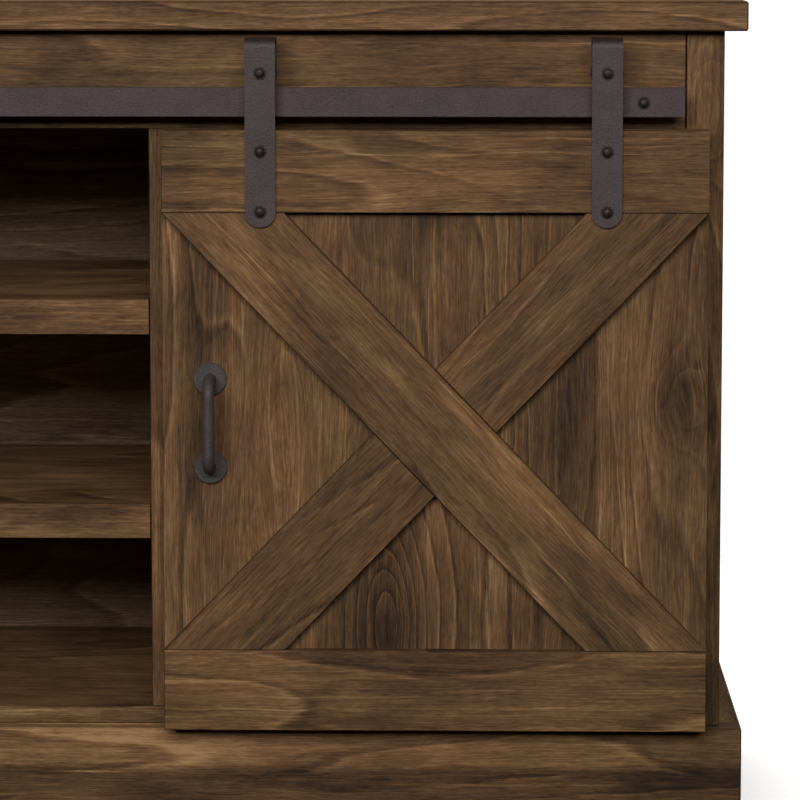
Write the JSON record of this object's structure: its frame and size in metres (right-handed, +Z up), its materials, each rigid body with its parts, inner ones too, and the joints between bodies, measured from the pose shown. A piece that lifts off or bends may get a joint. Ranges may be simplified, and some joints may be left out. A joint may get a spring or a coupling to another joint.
{
  "type": "media cabinet",
  "caption": "Low barn-door media cabinet in dark rustic walnut: open shelved centre bay between X-braced doors that slide on a flat steel track.",
  "frame": {"origin": "on the floor, under the middle of the whole object's box", "axes": "+X to the right of someone facing the front, -Y out of the front, +Z up"},
  "size_m": [1.473, 0.412, 0.7185],
  "materials": {
    "walnut_laminate": "satin, dark rustic walnut grain",
    "back_board": "printed hardboard",
    "bronze_steel": "fine matte powder coat, dark bronze grey",
    "zinc_fittings": "bright zinc plate",
    "black_plastic": "matte moulded"
  },
  "bodies": {
    "cabinet": {"top_panel": "walnut_laminate", "right_side_panel": "walnut_laminate", "left_side_panel": "walnut_laminate", "right_corner_post": "walnut_laminate", "left_corner_post": "walnut_laminate", "right_divider": "walnut_laminate", "left_divider": "walnut_laminate", "fascia_rail": "walnut_laminate", "bottom_panel": "walnut_laminate", "centre_back_panel": "back_board", "right_back_panel": "back_board", "left_back_panel": "back_board", "back_rail": "walnut_laminate", "upper_centre_shelf": "walnut_laminate", "lower_centre_shelf": "walnut_laminate", "right_side_shelf": "walnut_laminate", "left_side_shelf": "walnut_laminate", "shelf_pins": "zinc_fittings", "cam_fasteners": "zinc_fittings", "plinth_front_board": "walnut_laminate", "plinth_back_board": "walnut_laminate", "right_plinth_side_board": "walnut_laminate", "left_plinth_side_board": "walnut_laminate", "plinth_cross_rails": "walnut_laminate", "floor_glides": "black_plastic", "track_bar": "bronze_steel", "track_spacers": "bronze_steel", "track_fasteners": "bronze_steel"},
    "right_door": {"right_door_panel": "walnut_laminate", "right_door_top_rail": "walnut_laminate", "right_door_bottom_rail": "walnut_laminate", "right_door_long_plank": "walnut_laminate", "right_door_upper_plank": "walnut_laminate", "right_door_lower_plank": "walnut_laminate", "right_door_handle_bar": "bronze_steel", "right_door_handle_roses": "bronze_steel", "right_door_inner_strap": "bronze_steel", "right_door_outer_strap": "bronze_steel", "right_door_hanger_fasteners": "bronze_steel", "right_door_wheel_spacers": "bronze_steel", "right_door_guide_plates": "bronze_steel", "right_door_screws": "zinc_fittings"},
    "right_inner_wheel": {"right_inner_track_wheel": "black_plastic"},
    "right_outer_wheel": {"right_outer_track_wheel": "black_plastic"},
    "left_door": {"left_door_panel": "walnut_laminate", "left_door_top_rail": "walnut_laminate", "left_door_bottom_rail": "walnut_laminate", "left_door_long_plank": "walnut_laminate", "left_door_upper_plank": "walnut_laminate", "left_door_lower_plank": "walnut_laminate", "left_door_handle_bar": "bronze_steel", "left_door_handle_roses": "bronze_steel", "left_door_inner_strap": "bronze_steel", "left_door_outer_strap": "bronze_steel", "left_door_hanger_fasteners": "bronze_steel", "left_door_wheel_spacers": "bronze_steel", "left_door_guide_plates": "bronze_steel", "left_door_screws": "zinc_fittings"},
    "left_inner_wheel": {"left_inner_track_wheel": "black_plastic"},
    "left_outer_wheel": {"left_outer_track_wheel": "black_plastic"}
  },
  "joints": [
    {"name": "right_door_slide", "type": "slide", "parent": "cabinet", "child": "right_door", "axis": [-1, 0, 0], "range_m": [0, 0.241]},
    {"name": "right_inner_wheel_spin", "type": "hinge", "parent": "right_door", "child": "right_inner_wheel", "pos_m": [0.3263, -0.173, 0.6592], "axis": [0, 1, 0], "continuous": true},
    {"name": "right_outer_wheel_spin", "type": "hinge", "parent": "right_door", "child": "right_outer_wheel", "pos_m": [0.6175, -0.173, 0.6592], "axis": [0, 1, 0], "continuous": true},
    {"name": "left_door_slide", "type": "slide", "parent": "cabinet", "child": "left_door", "axis": [1, 0, 0], "range_m": [0, 0.241]},
    {"name": "left_inner_wheel_spin", "type": "hinge", "parent": "left_door", "child": "left_inner_wheel", "pos_m": [-0.3263, -0.173, 0.6592], "axis": [0, 1, 0], "continuous": true},
    {"name": "left_outer_wheel_spin", "type": "hinge", "parent": "left_door", "child": "left_outer_wheel", "pos_m": [-0.6175, -0.173, 0.6592], "axis": [0, 1, 0], "continuous": true}
  ],
  "couplings": [
    {"joint": "right_inner_wheel_spin", "follows": "right_door_slide", "rad_per_m": -78.74},
    {"joint": "right_outer_wheel_spin", "follows": "right_door_slide", "rad_per_m": -78.74},
    {"joint": "left_inner_wheel_spin", "follows": "left_door_slide", "rad_per_m": 78.74},
    {"joint": "left_outer_wheel_spin", "follows": "left_door_slide", "rad_per_m": 78.74}
  ]
}
